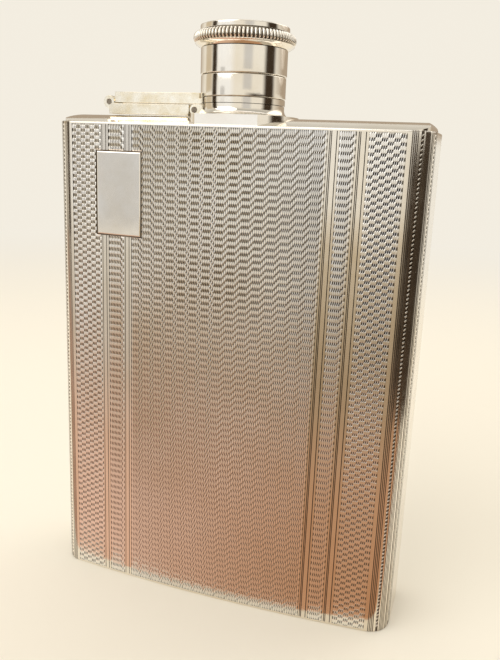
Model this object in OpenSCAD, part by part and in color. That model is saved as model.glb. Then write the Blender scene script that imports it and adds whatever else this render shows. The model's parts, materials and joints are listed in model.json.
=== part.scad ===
// Hip flask with a captive quarter-turn cap on a folding two-hinge arm.
// The base stands on z = 0, the curved front faces -Y, and the arm folds
// to the -X side of the neck.

/* [Body] */
// Width across the two sides
body_w = 80.2; // [64:0.1:110]
// Height of the walls
body_h = 105; // [80:0.5:150]
// Thickness from front to back, measured at the middle
body_t = 21; // [20:0.5:32]
// Radius of the curved front; the back curves about the same centre
hip_r = 383; // [250:1:900]
// Radius of the four upright edges
edge_r = 5; // [3:0.5:8]
// Thickness of the silver in both shells
wall = 0.8; // [0.5:0.1:1.4]
// Distance from the front to the joint between the two shells
seam_set = 4.4; // [3:0.1:8]
// Rise of the cushioned shoulder above the walls
dome_h = 1.8; // [0.8:0.1:3]
// Thickness of the shoulder plate and of the base plate
plate_t = 0.9; // [0.5:0.1:1.5]
// Depth of the shoulder plate's rim inside the walls
plate_rim = 2.2; // [1.5:0.1:5]
// Rounding of the two ends of the shoulder
plate_end_r = 2.2; // [1:0.1:3]

/* [Neck] */
// Diameter of the bore that is poured through
bore_d = 11.2; // [8:0.1:12.4]
// Wall of the neck tube
tube_wall = 0.8; // [0.6:0.1:1]
// Height of the mouth above the walls
mouth_rise = 10.6; // [8.6:0.1:11]
// Outer diameter of the neck collar
collar_d = 17.2; // [16.6:0.1:17.4]
// Height of the collar's top above the walls
collar_rise = 4.2; // [4:0.1:6]
// Diameter of the collar's spreading foot
foot_d = 23.4; // [20:0.1:24]
// Radius of the sweep from the collar to its foot
foot_sweep = 1.5; // [0.8:0.1:2]
// Thickness of the foot's edge
foot_t = 0.25; // [0.2:0.05:0.6]

/* [Cap] */
// Play between the bayonet sleeve and the neck tube, each side
sleeve_play = 0.55; // [0.45:0.05:0.7]
// Wall of the bayonet sleeve
sleeve_wall = 0.9; // [0.7:0.05:0.95]
// Outer diameter of the upper skirt
skirt_d = 17.72; // [17.2:0.02:18.6]
// Outer diameter of the lower band
band_d = 17.5; // [17:0.1:18.4]
// Height of the lower band
band_h = 4.3; // [3:0.1:6]
// Height of the upper skirt
skirt_h = 5.1; // [4:0.1:8]
// Line between the band and the skirt
groove_h = 0.1; // [0.05:0.05:0.3]
// Widest diameter of the milled rim
rim_d = 20.9; // [19.6:0.1:23]
// Height of the milled rim
rim_h = 3.1; // [2.4:0.1:4]
// Number of flutes round the milled rim
flute_n = 80; // [40:2:100]
// Depth of each flute
flute_depth = 0.3; // [0.15:0.05:0.4]
// Diameter of the top disc
disc_d = 18.1; // [15:0.1:19]
// Thickness of the top disc at its edge
disc_t = 1.0; // [0.6:0.1:2]
// Rise of the top disc at its middle
disc_crown = 0.65; // [0.2:0.05:1.2]
// Thickness of the cork
cork_t = 3.8; // [2:0.1:4.2]

/* [Bayonet] */
// Diameter of each bayonet stud
stud_d = 1.4; // [1:0.1:1.6]
// Height of the studs above the collar
stud_rise = 3; // [2.4:0.1:3.4]
// Play between a stud and its slot, each side
stud_play = 0.4; // [0.3:0.05:0.5]
// Turn from the open slot to the locked end
lock_turn = 90; // [60:5:100]

/* [Arm] */
// Width of both leaves
arm_w = 5; // [4:0.1:7]
// Distance from the neck's axis to the outer hinge pin
outer_pin_x = 30; // [24:0.5:34]
// Thickness of the lower leaf
lower_leaf_t = 2.1; // [1.5:0.1:2.1]
// Thickness of the upper leaf
upper_leaf_t = 2.2; // [1.8:0.1:3]
// Diameter of the neck hinge's knuckles
neck_knuckle_d = 2.2; // [1.8:0.1:2.2]
// Diameter of the outer hinge's knuckles
outer_knuckle_d = 2.6; // [2.2:0.1:3]
// Diameter of both hinge pins
pin_d = 1.2; // [0.8:0.1:1.3]
// Thickness of the hinge bracket's seat in the collar
seat_t = 0.7; // [0.5:0.1:1]
// Width of the middle knuckle of each hinge
mid_knuckle_w = 2; // [1.6:0.1:2.4]
// Height of the swivel ring
ring_h = 1.1; // [1:0.1:1.6]
// Height of the shelf inside the ring that the cap's lip runs under
ring_shelf_h = 0.6; // [0.4:0.1:0.8]

/* [Fits] */
// Running gap between parts that turn on each other
run_gap = 0.1; // [0.08:0.01:0.15]
// Running gap round a hinge pin
pin_gap = 0.04; // [0.02:0.01:0.08]
// Gap between the cork and the mouth
seal_gap = 0.05; // [0.03:0.01:0.1]

/* [Hidden] */

cut = 1;              // how far a cutting shape runs past what it cuts
fine_fn = 96;         // facets of round parts
wide_fn = 1440;       // facets of the long hip curves
small_fn = 48;        // facets of pins and studs

// Plan of the body: both faces are arcs about one centre behind the flask
half_w = body_w / 2;
back_r = hip_r - body_t;
edge_x = half_w - edge_r;
function front_edge_y(r) = hip_r - sqrt(pow(hip_r - r, 2) - pow(edge_x, 2));
function back_edge_y(r) = hip_r - sqrt(pow(back_r + r, 2) - pow(edge_x, 2));
body_depth = back_edge_y(edge_r) + edge_r;
front_y = -body_depth / 2;            // front of the body at its middle
neck_y = front_y + body_t / 2;        // the neck stands at mid-thickness
seam_y = front_y + seam_set;

// Shoulder
dome_chord = body_t - 2 * wall;
dome_r = (pow(dome_chord / 2, 2) + pow(dome_h, 2)) / (2 * dome_h);
dome_mid_r = hip_r - body_t / 2;
sweep_angle = 2 * asin(half_w / back_r) + 2;
shoulder_z = body_h + dome_h;
crest_gap = 0.2;                      // keeps the end rounding clear of the crest

// Neck
tube_r = bore_d / 2 + tube_wall;
collar_r = collar_d / 2;
collar_z = body_h + collar_rise;
mouth_z = body_h + mouth_rise;
mouth_rim_h = 0.8;
tube_z0 = body_h - plate_rim;
stud_z = collar_z + stud_rise;
stud_reach = 0.7;                     // share of the sleeve wall that a stud enters
stud_tip_r = tube_r + sleeve_play + sleeve_wall * stud_reach;

// Swivel ring and cap, stacked up from the top of the collar
ring_z0 = collar_z + run_gap;
ring_z1 = ring_z0 + ring_h;
sleeve_r = tube_r + sleeve_play;
sleeve_out_r = sleeve_r + sleeve_wall;
step_in = 0.05;                       // set back of a part behind its neighbour
ring_r = band_d / 2 - step_in;
ring_bore_r = sleeve_out_r + run_gap;
lip_reach = 0.4;                      // how far the lip runs under the shelf
lip_r = sleeve_out_r + lip_reach;
lip_h = ring_h - ring_shelf_h - run_gap - step_in;
sleeve_z0 = ring_z0 + step_in;
band_z0 = ring_z1 + run_gap;
band_z1 = band_z0 + band_h;
skirt_z0 = band_z1 + groove_h;
skirt_z1 = skirt_z0 + skirt_h;
rim_z1 = skirt_z1 + rim_h;
rim_wide_share = 0.6;                 // where the rim is widest, in its height
rim_wide_z = skirt_z1 + rim_h * rim_wide_share;
spigot_r = 6;
disc_step_h = 0.15;
disc_z0 = rim_z1 + disc_step_h;
disc_r = disc_d / 2;
crown_r = (pow(disc_r, 2) + pow(disc_crown, 2)) / (2 * disc_crown);
cup_t = 0.5;
cup_gap = 0.1;                        // between the cup and the sleeve
cup_r = sleeve_r - cup_gap;
cork_r = cup_r - cup_t;
cork_z0 = mouth_z + seal_gap;
cork_z1 = skirt_z1 - cup_t;

// Arm
neck_knuckle_r = neck_knuckle_d / 2;
outer_knuckle_r = outer_knuckle_d / 2;
side_gap = run_gap;                            // between neighbouring knuckles
swing_gap = 0.15;                              // leaf end to the knuckle beside it
neck_pin_x = -(collar_r + neck_knuckle_r + swing_gap);
neck_pin_z = collar_z - neck_knuckle_r;
outer_pin_rise = 0.15;                         // outer pin above the ring's underside
outer_pin_z = ring_z0 + outer_pin_rise;
leaf_gap = 0.2;                                // between the folded leaves
lower_leaf_z1 = ring_z0 - leaf_gap;
lower_leaf_z0 = lower_leaf_z1 - lower_leaf_t;
upper_leaf_z0 = ring_z0;
upper_leaf_z1 = upper_leaf_z0 + upper_leaf_t;

// ---------------------------------------------------------------- helpers

// Plan outline of the body, moved in by `inset` all round
module plan(inset = 0) {
    r = edge_r - inset;
    hw = half_w - inset;
    fy = front_edge_y(edge_r);
    by = back_edge_y(edge_r);
    front_arc = hip_r - inset;
    back_arc = back_r + inset;
    ft = [edge_x * front_arc / (hip_r - edge_r),
          hip_r - (hip_r - fy) * front_arc / (hip_r - edge_r)];
    bt = [edge_x * back_arc / (back_r + edge_r),
          hip_r - (hip_r - by) * back_arc / (back_r + edge_r)];
    translate([0, front_y]) difference() {
        union() {
            polygon([
                [-ft[0], ft[1]], [ft[0], ft[1]], [edge_x, fy], [hw, fy],
                [hw, by], [edge_x, by], [bt[0], bt[1]],
                [-bt[0], bt[1]], [-edge_x, by], [-hw, by],
                [-hw, fy], [-edge_x, fy]
            ]);
            intersection() {
                translate([0, hip_r]) circle(r = front_arc, $fn = wide_fn);
                translate([-ft[0], inset - cut]) square([2 * ft[0], ft[1] - inset + cut]);
            }
            for (side = [-1, 1], y = [fy, by])
                translate([side * edge_x, y]) circle(r = r, $fn = fine_fn);
        }
        translate([0, hip_r]) circle(r = back_arc, $fn = wide_fn);
    }
}

// Tube of both shells together
module shell_tube() {
    linear_extrude(body_h) difference() {
        plan();
        plan(wall);
    }
}

// Everything below the cushioned shoulder surface, lowered by `drop`
module under_dome(drop = 0) {
    translate([0, front_y + hip_r, 0])
        rotate([0, 0, -90 - sweep_angle / 2])
            rotate_extrude(angle = sweep_angle, $fn = wide_fn)
                intersection() {
                    translate([dome_mid_r, shoulder_z - dome_r - drop])
                        circle(r = dome_r, $fn = 2 * fine_fn);
                    translate([dome_mid_r - body_t / 2 - cut, tube_z0 - cut])
                        square([body_t + 2 * cut, plate_rim + dome_h + 2 * cut]);
                }
}

// Upright slab, full depth, whose two top ends are rounded
module rounded_ends(half, top, r) {
    translate([0, body_depth, 0]) rotate([90, 0, 0])
        linear_extrude(2 * body_depth) {
            translate([-half + r, 0]) square([2 * (half - r), top]);
            translate([-half, 0]) square([2 * half, top - r]);
            for (side = [-1, 1])
                translate([side * (half - r), top - r]) circle(r = r, $fn = small_fn);
        }
}

// The neck's own frame
module at_neck() {
    translate([0, neck_y, 0]) children();
}

// Round bar along Y, centred on y = 0
module y_bar(d, length) {
    rotate([90, 0, 0]) cylinder(d = d, h = length, center = true, $fn = small_fn);
}

// Plain tube about the neck's axis
module ring(r_in, r_out, z0, z1) {
    translate([0, 0, z0]) difference() {
        cylinder(r = r_out, h = z1 - z0, $fn = fine_fn);
        translate([0, 0, -cut]) cylinder(r = r_in, h = z1 - z0 + 2 * cut, $fn = fine_fn);
    }
}

// One of the two outer knuckles on each side of a middle knuckle
module outer_knuckles(d) {
    inner = mid_knuckle_w / 2 + side_gap;
    for (side = [-1, 1])
        translate([0, side * (inner + arm_w / 2) / 2, 0])
            y_bar(d, arm_w / 2 - inner);
}

// ------------------------------------------------------------------- body

module front_shell() {
    color("silver") intersection() {
        shell_tube();
        translate([-body_w, front_y - cut, -cut])
            cube([2 * body_w, seam_set + cut, body_h + 2 * cut]);
    }
}

module back_shell() {
    color("silver") difference() {
        shell_tube();
        translate([-body_w, front_y - cut, -cut])
            cube([2 * body_w, seam_set + cut, body_h + 2 * cut]);
    }
}

module top_plate() {
    inner = wall + plate_t;
    color("silver") difference() {
        intersection() {
            translate([0, 0, tube_z0]) linear_extrude(plate_rim + dome_h + cut) plan(wall);
            under_dome();
            rounded_ends(half_w - wall, shoulder_z + crest_gap, plate_end_r);
        }
        intersection() {
            translate([0, 0, tube_z0 - cut])
                linear_extrude(plate_rim + dome_h + 2 * cut) plan(inner);
            under_dome(plate_t);
        }
        at_neck() translate([0, 0, tube_z0]) cylinder(r = tube_r, h = 3 * dome_h + plate_rim, $fn = fine_fn);
    }
}

module base_plate() {
    color("silver") linear_extrude(plate_t) plan(wall);
}

// ------------------------------------------------------------------- neck

// Spreading foot of the collar, notched where the hinge sits
module collar_foot() {
    foot_top = shoulder_z + foot_t;
    sweep_r = collar_r + foot_sweep;
    difference() {
        rotate_extrude($fn = fine_fn) difference() {
            union() {
                translate([tube_r, body_h - cut])
                    square([foot_d / 2 - tube_r, foot_top - body_h + cut]);
                translate([tube_r, body_h]) square([sweep_r - tube_r, foot_top + foot_sweep - body_h]);
            }
            translate([sweep_r, foot_top + foot_sweep]) circle(r = foot_sweep, $fn = small_fn);
        }
        translate([-foot_d, -arm_w / 2 - swing_gap, body_h])
            cube([foot_d - collar_r, arm_w + 2 * swing_gap, collar_rise]);
    }
}

module neck_collar() {
    color("silver") difference() {
        intersection() {
            at_neck() union() {
                ring(tube_r, collar_r, body_h, collar_z);
                collar_foot();
            }
            translate([0, 0, body_h - cut]) linear_extrude(collar_rise + 2 * cut) plan(wall);
        }
        under_dome();
        at_neck() bracket_seat();
    }
}

module neck_tube() {
    color("gainsboro") at_neck() difference() {
        ring(bore_d / 2, tube_r, tube_z0, mouth_z - mouth_rim_h);
        translate([0, 0, stud_z]) y_bar(stud_d, 4 * tube_r);
    }
}

module mouth_rim() {
    mid = (tube_r + bore_d / 2) / 2;
    round_r = tube_wall / 2;
    color("gainsboro") at_neck() rotate_extrude($fn = fine_fn) {
        translate([mid - round_r, mouth_z - mouth_rim_h])
            square([tube_wall, mouth_rim_h - round_r]);
        translate([mid, mouth_z - round_r]) circle(r = round_r, $fn = small_fn);
    }
}

// Stud through the wall of the neck tube, on the side that `way` gives
module stud(way) {
    color("gainsboro") at_neck() intersection() {
        translate([0, way * stud_tip_r / 2, stud_z]) y_bar(stud_d, stud_tip_r);
        ring(bore_d / 2, 2 * tube_r, stud_z - stud_d, stud_z + stud_d);
    }
}

module stud_front() { stud(-1); }

module stud_back() { stud(1); }

// -------------------------------------------------------------------- arm

// Flat seat of the bracket, let into the side of the collar
module bracket_seat() {
    translate([-collar_r, -arm_w / 2, neck_pin_z - neck_knuckle_r])
        cube([seat_t, arm_w, neck_knuckle_d]);
}

module hinge_bracket() {
    inner = mid_knuckle_w / 2 + side_gap;
    ear_w = arm_w / 2 - inner;
    color("silver") at_neck() difference() {
        union() {
            bracket_seat();
            translate([neck_pin_x, 0, neck_pin_z]) outer_knuckles(neck_knuckle_d);
            for (y = [-arm_w / 2, inner])
                translate([neck_pin_x, y, neck_pin_z - neck_knuckle_r])
                    cube([-neck_pin_x - collar_r + seat_t / 2, ear_w, neck_knuckle_d]);
        }
        translate([neck_pin_x, 0, neck_pin_z]) y_bar(pin_d, 2 * arm_w);
    }
}

module neck_hinge_pin() {
    color("gray") at_neck() translate([neck_pin_x, 0, neck_pin_z]) y_bar(pin_d, arm_w);
}

module lower_leaf() {
    leaf_x0 = -outer_pin_x;
    leaf_x1 = neck_pin_x - neck_knuckle_r - swing_gap;
    inner = mid_knuckle_w / 2;
    color("silver") at_neck() difference() {
        union() {
            difference() {
                translate([leaf_x0, -arm_w / 2, lower_leaf_z0])
                    cube([leaf_x1 - leaf_x0, arm_w, lower_leaf_t]);
                translate([leaf_x0, 0, outer_pin_z])
                    y_bar(outer_knuckle_d + 2 * swing_gap, mid_knuckle_w + 2 * side_gap);
            }
            translate([leaf_x0, 0, outer_pin_z]) outer_knuckles(outer_knuckle_d);
            translate([neck_pin_x, 0, neck_pin_z]) y_bar(neck_knuckle_d, mid_knuckle_w);
            translate([leaf_x1 - cut, -inner, lower_leaf_z0])
                cube([neck_pin_x - leaf_x1 + cut, mid_knuckle_w, lower_leaf_t]);
        }
        translate([leaf_x0, 0, outer_pin_z]) y_bar(pin_d, 2 * arm_w);
        translate([neck_pin_x, 0, neck_pin_z]) y_bar(pin_d + 2 * pin_gap, 2 * arm_w);
    }
}

module outer_hinge_pin() {
    color("gray") at_neck() translate([-outer_pin_x, 0, outer_pin_z]) y_bar(pin_d, arm_w);
}

module upper_leaf() {
    leaf_x0 = -outer_pin_x + outer_knuckle_r + swing_gap;
    color("silver") at_neck() difference() {
        union() {
            translate([leaf_x0, -arm_w / 2, upper_leaf_z0])
                cube([-leaf_x0, arm_w, upper_leaf_t]);
            translate([-outer_pin_x, 0, outer_pin_z]) y_bar(outer_knuckle_d, mid_knuckle_w);
            translate([-outer_pin_x, -mid_knuckle_w / 2, upper_leaf_z0])
                cube([outer_knuckle_r + swing_gap + cut, mid_knuckle_w, outer_knuckle_r]);
        }
        translate([0, 0, upper_leaf_z0 - cut])
            cylinder(r = ring_r, h = upper_leaf_t + 2 * cut, $fn = fine_fn);
        translate([0, 0, ring_z1])
            cylinder(r = skirt_d / 2 + 2 * run_gap, h = upper_leaf_t, $fn = fine_fn);
        translate([-outer_pin_x, 0, outer_pin_z]) y_bar(pin_d + 2 * pin_gap, 2 * arm_w);
    }
}

module swivel_ring() {
    color("silver") at_neck() difference() {
        ring(ring_bore_r, ring_r, ring_z0, ring_z1);
        translate([0, 0, ring_z0 - cut])
            cylinder(r = lip_r + run_gap, h = ring_h - ring_shelf_h + cut, $fn = fine_fn);
    }
}

// -------------------------------------------------------------------- cap

// One L-shaped bayonet slot, entered from below at the +Y side
module bayonet_slot() {
    half = stud_d / 2 + stud_play;
    leg_half = stud_d / 2 + run_gap;
    reach = sleeve_out_r + cut;
    translate([-half, 0, sleeve_z0 - cut])
        cube([2 * half, reach, stud_z + leg_half - sleeve_z0 + cut]);
    rotate([0, 0, 90 - lock_turn])
        rotate_extrude(angle = lock_turn, $fn = fine_fn)
            translate([tube_r, stud_z - leg_half]) square([reach - tube_r, 2 * leg_half]);
    rotate([0, 0, -lock_turn]) translate([0, 0, stud_z]) rotate([-90, 0, 0])
        cylinder(r = leg_half, h = reach, $fn = small_fn);
}

module bayonet_sleeve() {
    color("gainsboro") at_neck() difference() {
        ring(sleeve_r, sleeve_out_r, sleeve_z0, skirt_z1);
        bayonet_slot();
        rotate([0, 0, 180]) bayonet_slot();
    }
}

module retaining_lip() {
    color("gainsboro") at_neck() ring(sleeve_out_r, lip_r, sleeve_z0, sleeve_z0 + lip_h);
}

module cap_band() {
    color("silver") at_neck() ring(sleeve_out_r, band_d / 2, band_z0, band_z1);
}

module cap_barrel() {
    color("silver") at_neck() ring(sleeve_out_r, skirt_d / 2, skirt_z0, skirt_z1);
}

module milled_rim() {
    rim_r = rim_d / 2;
    under_h = rim_wide_z - skirt_z1;
    over_h = rim_z1 - rim_wide_z;
    swell = 1.6;                    // how far the rim's round edge reaches in
    color("silver") at_neck() difference() {
        rotate_extrude($fn = fine_fn) {
            translate([spigot_r, skirt_z1]) square([rim_r - swell - spigot_r, rim_h]);
            intersection() {
                translate([rim_r - swell, rim_wide_z]) circle(r = swell, $fn = small_fn);
                translate([rim_r - swell, skirt_z1]) square([swell, rim_h]);
            }
        }
        for (i = [0 : flute_n - 1])
            rotate([0, 0, (i + 0.5) * 360 / flute_n])
                translate([rim_r, 0, rim_wide_z - under_h * 0.45])
                    rotate([0, 0, 45])
                        translate([-flute_depth, -flute_depth, 0] / sqrt(2))
                            cube([2 * flute_depth, 2 * flute_depth, over_h + under_h]);
    }
}

module cap_top_disc() {
    color("silver") at_neck() rotate_extrude($fn = fine_fn) {
        translate([0, skirt_z1 + plate_t]) square([spigot_r, rim_h + disc_step_h - plate_t]);
        translate([0, rim_z1]) square([disc_r - 0.5, disc_step_h]);
        translate([0, disc_z0]) square([disc_r, disc_t]);
        intersection() {
            translate([0, disc_z0 + disc_t + disc_crown - crown_r])
                circle(r = crown_r, $fn = 4 * fine_fn);
            translate([0, disc_z0]) square([disc_r, disc_t + disc_crown + cut]);
        }
    }
}

module cork_cup() {
    color("gainsboro") at_neck() difference() {
        translate([0, 0, cork_z1 - cork_t / 2])
            cylinder(r = cup_r, h = cup_t + cork_t / 2, $fn = fine_fn);
        translate([0, 0, cork_z1 - cork_t]) cylinder(r = cork_r, h = cork_t, $fn = fine_fn);
    }
}

module cork_seal() {
    color("tan") at_neck() translate([0, 0, cork_z0])
        cylinder(r = cork_r, h = cork_z1 - cork_z0, $fn = fine_fn);
}

front_shell();
back_shell();
top_plate();
base_plate();
neck_collar();
neck_tube();
mouth_rim();
stud_front();
stud_back();
hinge_bracket();
neck_hinge_pin();
lower_leaf();
outer_hinge_pin();
upper_leaf();
swivel_ring();
bayonet_sleeve();
retaining_lip();
cap_band();
cap_barrel();
milled_rim();
cap_top_disc();
cork_cup();
cork_seal();
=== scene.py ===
"""Looks of a silver hip flask with engine-turned faces and a captive bayonet cap."""

from __future__ import annotations

import json
import logging
import math
from collections.abc import Iterable, Sequence
from dataclasses import dataclass
from enum import Enum

import bmesh
import bpy
from mathutils import Matrix, Vector

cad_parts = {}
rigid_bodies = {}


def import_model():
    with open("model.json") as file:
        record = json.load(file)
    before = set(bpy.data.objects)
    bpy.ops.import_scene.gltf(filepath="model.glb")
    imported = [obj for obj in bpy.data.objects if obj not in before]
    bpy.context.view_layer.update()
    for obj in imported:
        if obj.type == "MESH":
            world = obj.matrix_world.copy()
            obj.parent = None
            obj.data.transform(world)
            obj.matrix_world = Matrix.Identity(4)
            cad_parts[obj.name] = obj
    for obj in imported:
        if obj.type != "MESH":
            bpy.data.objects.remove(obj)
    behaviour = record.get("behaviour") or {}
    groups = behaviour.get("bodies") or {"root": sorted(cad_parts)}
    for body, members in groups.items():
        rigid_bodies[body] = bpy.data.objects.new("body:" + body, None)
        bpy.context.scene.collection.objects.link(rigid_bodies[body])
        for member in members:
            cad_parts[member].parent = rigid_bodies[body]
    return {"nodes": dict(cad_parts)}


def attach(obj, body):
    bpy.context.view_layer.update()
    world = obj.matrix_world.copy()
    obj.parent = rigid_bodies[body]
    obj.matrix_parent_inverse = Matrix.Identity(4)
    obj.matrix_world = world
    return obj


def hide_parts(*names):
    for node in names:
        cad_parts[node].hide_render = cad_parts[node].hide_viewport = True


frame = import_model()

MM = 0.001
BAKE_MAP = "OFBake"
# Point attribute holding the share of painted shade: the bottoms of the cuts and the metal beside the dashes.
CUT_SHADE_ATTRIBUTE = "cut_shade_share"
LOG = logging.getLogger("flask")

Socket = bpy.types.NodeSocket
Fed = Socket | float | int | tuple


class Body(Enum):
    """The moving bodies of the frame."""

    FLASK = "flask"
    LOWER_ARM = "lower_arm"
    UPPER_ARM = "upper_arm"
    CAP = "cap"


class Slot(Enum):
    """The record's material slots."""

    TURNED = "engine_turned_silver"
    POLISHED = "polished_silver"
    INNER = "inner_silver"
    PIN = "hinge_pin"
    CORK = "cork"


class Face(Enum):
    """The two broad faces of the flask; the value is +1 for the front."""

    FRONT = 1
    BACK = -1


# ---------------------------------------------------------------- node wiring


class Wiring:
    """Adds and links nodes in one tree."""

    def __init__(self, tree: bpy.types.NodeTree) -> None:
        """Keeps the tree that nodes are added to."""
        self.tree = tree

    def feed(self, socket: Socket, value: Fed) -> None:
        """Links a socket to another, or sets its value.

        Args:
            socket: The input to fill.
            value: An output socket, or a plain value.
        """
        if isinstance(value, bpy.types.NodeSocket):
            self.tree.links.new(value, socket)
        else:
            socket.default_value = value

    def node(self, kind: str, inputs: dict[str | int, Fed] | None = None, **settings: object) -> bpy.types.Node:
        """Adds a node.

        Args:
            kind: The node's type name.
            inputs: Values or sockets by input name or number.
            settings: Properties of the node itself.

        Returns:
            The new node.
        """
        made = self.tree.nodes.new(kind)
        for key, value in settings.items():
            setattr(made, key, value)
        for key, value in (inputs or {}).items():
            self.feed(made.inputs[key], value)
        return made

    def math(self, operation: str, *values: Fed) -> Socket:
        """Adds a Math node.

        Args:
            operation: The Math node's operation.
            values: Its inputs in order.

        Returns:
            The result's socket.
        """
        return self.node("ShaderNodeMath", dict(enumerate(values)), operation=operation).outputs[0]


class Rule(Wiring):
    """A Geometry Nodes tree with named sizes, which is run once into a plain mesh."""

    def __init__(self, name: str) -> None:
        """Starts an empty tree with one geometry output."""
        super().__init__(bpy.data.node_groups.new(name, "GeometryNodeTree"))
        self.tree.interface.new_socket("Geometry", in_out="OUTPUT", socket_type="NodeSocketGeometry")
        self.sizes_in = self.tree.nodes.new("NodeGroupInput")
        self.result = self.tree.nodes.new("NodeGroupOutput")
        self.ids: dict[str, str] = {}

    def size(self, name: str, whole: bool = False) -> Socket:
        """Adds a named input.

        Args:
            name: The input's name.
            whole: Whether it is a whole number.

        Returns:
            The socket that gives its value inside the tree.
        """
        kind = "NodeSocketInt" if whole else "NodeSocketFloat"
        item = self.tree.interface.new_socket(name, in_out="INPUT", socket_type=kind)
        self.ids[name] = item.identifier
        return next(s for s in self.sizes_in.outputs if s.identifier == item.identifier)

    def end(self, geometry: Socket, finish: bpy.types.Material) -> None:
        """Closes the tree with Realize Instances and Set Material."""
        real = self.node("GeometryNodeRealizeInstances", {"Geometry": geometry})
        dressed = self.node("GeometryNodeSetMaterial", {"Geometry": real.outputs[0], "Material": finish})
        self.tree.links.new(dressed.outputs[0], self.result.inputs[0])

    def run(self, **sizes: float) -> bpy.types.Mesh:
        """Evaluates the tree with these sizes.

        Args:
            sizes: A value for each named input, with spaces written as underscores.

        Returns:
            The resulting plain mesh.
        """
        host = bpy.data.objects.new(self.tree.name, bpy.data.meshes.new(self.tree.name))
        bpy.context.scene.collection.objects.link(host)
        modifier = host.modifiers.new("rule", "NODES")
        modifier.node_group = self.tree
        for name, value in sizes.items():
            modifier[self.ids[name.replace("_", " ")]] = value
        bpy.context.view_layer.update()
        graph = bpy.context.evaluated_depsgraph_get()
        mesh = bpy.data.meshes.new_from_object(
            host.evaluated_get(graph), preserve_all_data_layers=True, depsgraph=graph
        )
        host.modifiers.remove(modifier)
        bpy.data.objects.remove(host)
        return mesh


# ------------------------------------------------------------------- finishes


@dataclass(frozen=True)
class SilverFinish:
    """Silver with uneven tone, handling marks, hairline scratches and, where the mesh marks it, painted shade in its
    cuts.

    Attributes:
        name: The material's name.
        bright: The cleaner tint.
        warm: The slightly tarnished tint.
        rough: Lowest and highest roughness.
        patch: Size of the tone patches in metres.
        scratch: Strength of the hairline scratches.
        cut_shade_tint: Colour of the painted shade at the bottom of a cut and beside its dashes, mixed in as far as
            the mesh marks it.
    """

    name: str
    bright: tuple[float, float, float]
    warm: tuple[float, float, float]
    rough: tuple[float, float]
    patch: float = 0.02
    scratch: float = 0.08
    cut_shade_tint: tuple[float, float, float] | None = None

    def build(self) -> bpy.types.Material:
        """Makes the material.

        Returns:
            The new material.
        """
        material = bpy.data.materials.new(self.name)
        material.use_nodes = True
        w = Wiring(material.node_tree)
        shader = material.node_tree.nodes["Principled BSDF"]
        shader.inputs["Metallic"].default_value = 1.0
        place = w.node("ShaderNodeTexCoord").outputs["Object"]
        patches = w.node(
            "ShaderNodeTexNoise",
            {"Vector": place, "Scale": 1 / self.patch, "Detail": 4.0, "Roughness": 0.6},
        ).outputs[0]
        share = w.node(
            "ShaderNodeMapRange", {"Value": patches, "From Min": 0.35, "From Max": 0.68}
        ).outputs[0]
        tone = w.node(
            "ShaderNodeMix",
            {"Factor": share, "A": (*self.bright, 1), "B": (*self.warm, 1)},
            data_type="RGBA",
        )
        w.feed(tone.inputs[6], (*self.bright, 1))
        w.feed(tone.inputs[7], (*self.warm, 1))
        colour = tone.outputs[2]
        if self.cut_shade_tint is not None:
            # Painted shade: the marked share mixes the colour towards the cut shade tint.
            shade_marked = w.node("ShaderNodeAttribute", attribute_name=CUT_SHADE_ATTRIBUTE).outputs["Fac"]
            cut = w.node(
                "ShaderNodeMapRange", {"Value": shade_marked, "From Min": 0.38, "From Max": 0.85}
            ).outputs[0]
            cut_shaded = w.node("ShaderNodeMix", {"Factor": cut}, data_type="RGBA")
            w.feed(cut_shaded.inputs[6], colour)
            w.feed(cut_shaded.inputs[7], (*self.cut_shade_tint, 1))
            colour = cut_shaded.outputs[2]
        w.feed(shader.inputs["Base Color"], colour)
        smears = w.node(
            "ShaderNodeTexNoise",
            {"Vector": place, "Scale": 3.5 / self.patch, "Detail": 5.0, "Roughness": 0.7},
        ).outputs[0]
        w.feed(
            shader.inputs["Roughness"],
            w.node(
                "ShaderNodeMapRange",
                {"Value": smears, "From Min": 0.3, "From Max": 0.7, "To Min": self.rough[0], "To Max": self.rough[1]},
            ).outputs[0],
        )
        stretched = w.node(
            "ShaderNodeMapping", {"Vector": place, "Scale": (9000.0, 9000.0, 700.0), "Rotation": (0.5, 0.35, 0.2)}
        ).outputs[0]
        hair = w.node("ShaderNodeTexNoise", {"Vector": stretched, "Scale": 1.0, "Detail": 3.0}).outputs[0]
        w.feed(
            shader.inputs["Normal"],
            w.node(
                "ShaderNodeBump", {"Height": hair, "Strength": self.scratch, "Distance": 0.00003}
            ).outputs[0],
        )
        return material


@dataclass(frozen=True)
class CorkFinish:
    """Cut cork with darker lenticels and an open grain."""

    name: str = "cork"
    light: tuple[float, float, float] = (0.56, 0.36, 0.20)
    dark: tuple[float, float, float] = (0.20, 0.10, 0.05)

    def build(self) -> bpy.types.Material:
        """Makes the material.

        Returns:
            The new material.
        """
        material = bpy.data.materials.new(self.name)
        material.use_nodes = True
        w = Wiring(material.node_tree)
        shader = material.node_tree.nodes["Principled BSDF"]
        shader.inputs["Roughness"].default_value = 0.85
        place = w.node("ShaderNodeTexCoord").outputs["Object"]
        cells = w.node("ShaderNodeTexVoronoi", {"Vector": place, "Scale": 1400.0}).outputs["Distance"]
        pores = w.node("ShaderNodeTexNoise", {"Vector": place, "Scale": 520.0, "Detail": 6.0}).outputs[0]
        share = w.node("ShaderNodeMapRange", {"Value": pores, "From Min": 0.42, "From Max": 0.62}).outputs[0]
        tone = w.node("ShaderNodeMix", {"Factor": share}, data_type="RGBA")
        w.feed(tone.inputs[6], (*self.dark, 1))
        w.feed(tone.inputs[7], (*self.light, 1))
        w.feed(shader.inputs["Base Color"], tone.outputs[2])
        grain = w.math("ADD", cells, pores)
        w.feed(
            shader.inputs["Normal"],
            w.node("ShaderNodeBump", {"Height": grain, "Strength": 0.6, "Distance": 0.00012}).outputs[0],
        )
        return material


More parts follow.
